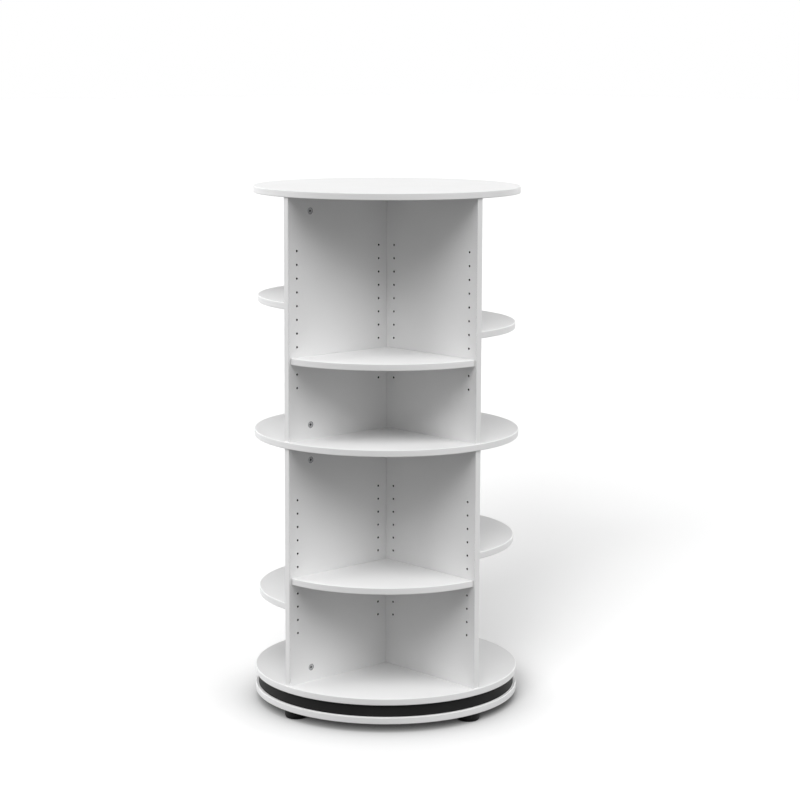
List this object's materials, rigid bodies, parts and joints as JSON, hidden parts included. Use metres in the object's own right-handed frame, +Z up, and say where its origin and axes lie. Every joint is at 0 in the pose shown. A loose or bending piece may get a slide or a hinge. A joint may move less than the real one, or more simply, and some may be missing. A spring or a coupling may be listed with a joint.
{
  "type": "rotating media tower",
  "caption": "Round two-level storage tower of white board that turns on a ring bearing over a round base, with quarter-round shelves between crossed panels.",
  "frame": {"origin": "on the turning axis, at floor level under the feet", "axes": "+Z up along the turning axis; the arms of the panel cross point along +X, +Y, -X and -Y; the pictured front looks into the compartment between the +X and the -Y panel"},
  "size_m": [0.64, 0.64, 1.253],
  "materials": {
    "white_board": "satin white melamine-faced board with rounded white edge banding",
    "black_plinth": "matte black",
    "black_foot": "fine-grained matte black plastic",
    "raw_board": "raw particle board",
    "bearing_steel": "pressed, zinc-plated steel",
    "zinc_fitting": "dull die-cast zinc"
  },
  "bodies": {
    "base": {"base_disc": "white_board", "plinth_ring": "black_plinth", "spacer_disc": "raw_board", "bearing_lower_race": "bearing_steel", "foot_front_right": "black_foot", "foot_screw_front_right": "zinc_fitting", "foot_rear_right": "black_foot", "foot_screw_rear_right": "zinc_fitting", "foot_rear_left": "black_foot", "foot_screw_rear_left": "zinc_fitting", "foot_front_left": "black_foot", "foot_screw_front_left": "zinc_fitting"},
    "ball_cage": {"bearing_ball_cage": "bearing_steel"},
    "tower": {"bearing_upper_race": "bearing_steel", "bottom_disc": "white_board", "middle_disc": "white_board", "top_disc": "white_board", "lower_long_panel": "white_board", "lower_short_panel_front_right": "white_board", "lower_short_panel_rear_left": "white_board", "lower_bottom_cam_front_right": "zinc_fitting", "lower_top_cam_front_right": "zinc_fitting", "lower_bottom_cam_rear_right": "zinc_fitting", "lower_top_cam_rear_right": "zinc_fitting", "lower_bottom_cam_rear_left": "zinc_fitting", "lower_top_cam_rear_left": "zinc_fitting", "lower_bottom_cam_front_left": "zinc_fitting", "lower_top_cam_front_left": "zinc_fitting", "lower_shelf_right": "white_board", "lower_shelf_back": "white_board", "lower_shelf_left": "white_board", "lower_shelf_front": "white_board", "upper_long_panel": "white_board", "upper_short_panel_front_right": "white_board", "upper_short_panel_rear_left": "white_board", "upper_bottom_cam_front_right": "zinc_fitting", "upper_top_cam_front_right": "zinc_fitting", "upper_bottom_cam_rear_right": "zinc_fitting", "upper_top_cam_rear_right": "zinc_fitting", "upper_bottom_cam_rear_left": "zinc_fitting", "upper_top_cam_rear_left": "zinc_fitting", "upper_bottom_cam_front_left": "zinc_fitting", "upper_top_cam_front_left": "zinc_fitting", "upper_shelf_right": "white_board", "upper_shelf_back": "white_board", "upper_shelf_left": "white_board", "upper_shelf_front": "white_board", "bottom_bolt_front_right": "zinc_fitting", "bottom_bolt_rear_right": "zinc_fitting", "bottom_bolt_rear_left": "zinc_fitting", "bottom_bolt_front_left": "zinc_fitting", "middle_bolt_front_right": "zinc_fitting", "middle_bolt_rear_right": "zinc_fitting", "middle_bolt_rear_left": "zinc_fitting", "middle_bolt_front_left": "zinc_fitting", "top_bolt_front_right": "zinc_fitting", "top_bolt_rear_right": "zinc_fitting", "top_bolt_rear_left": "zinc_fitting", "top_bolt_front_left": "zinc_fitting"}
  },
  "joints": [
    {"name": "tower_turn", "type": "hinge", "parent": "base", "child": "tower", "pos_m": [0, 0, 0.06], "axis": [0, 0, 1], "continuous": true},
    {"name": "cage_turn", "type": "hinge", "parent": "base", "child": "ball_cage", "pos_m": [0, 0, 0.06], "axis": [0, 0, 1], "continuous": true}
  ],
  "couplings": [
    {"joint": "cage_turn", "follows": "tower_turn", "ratio": 0.5}
  ]
}
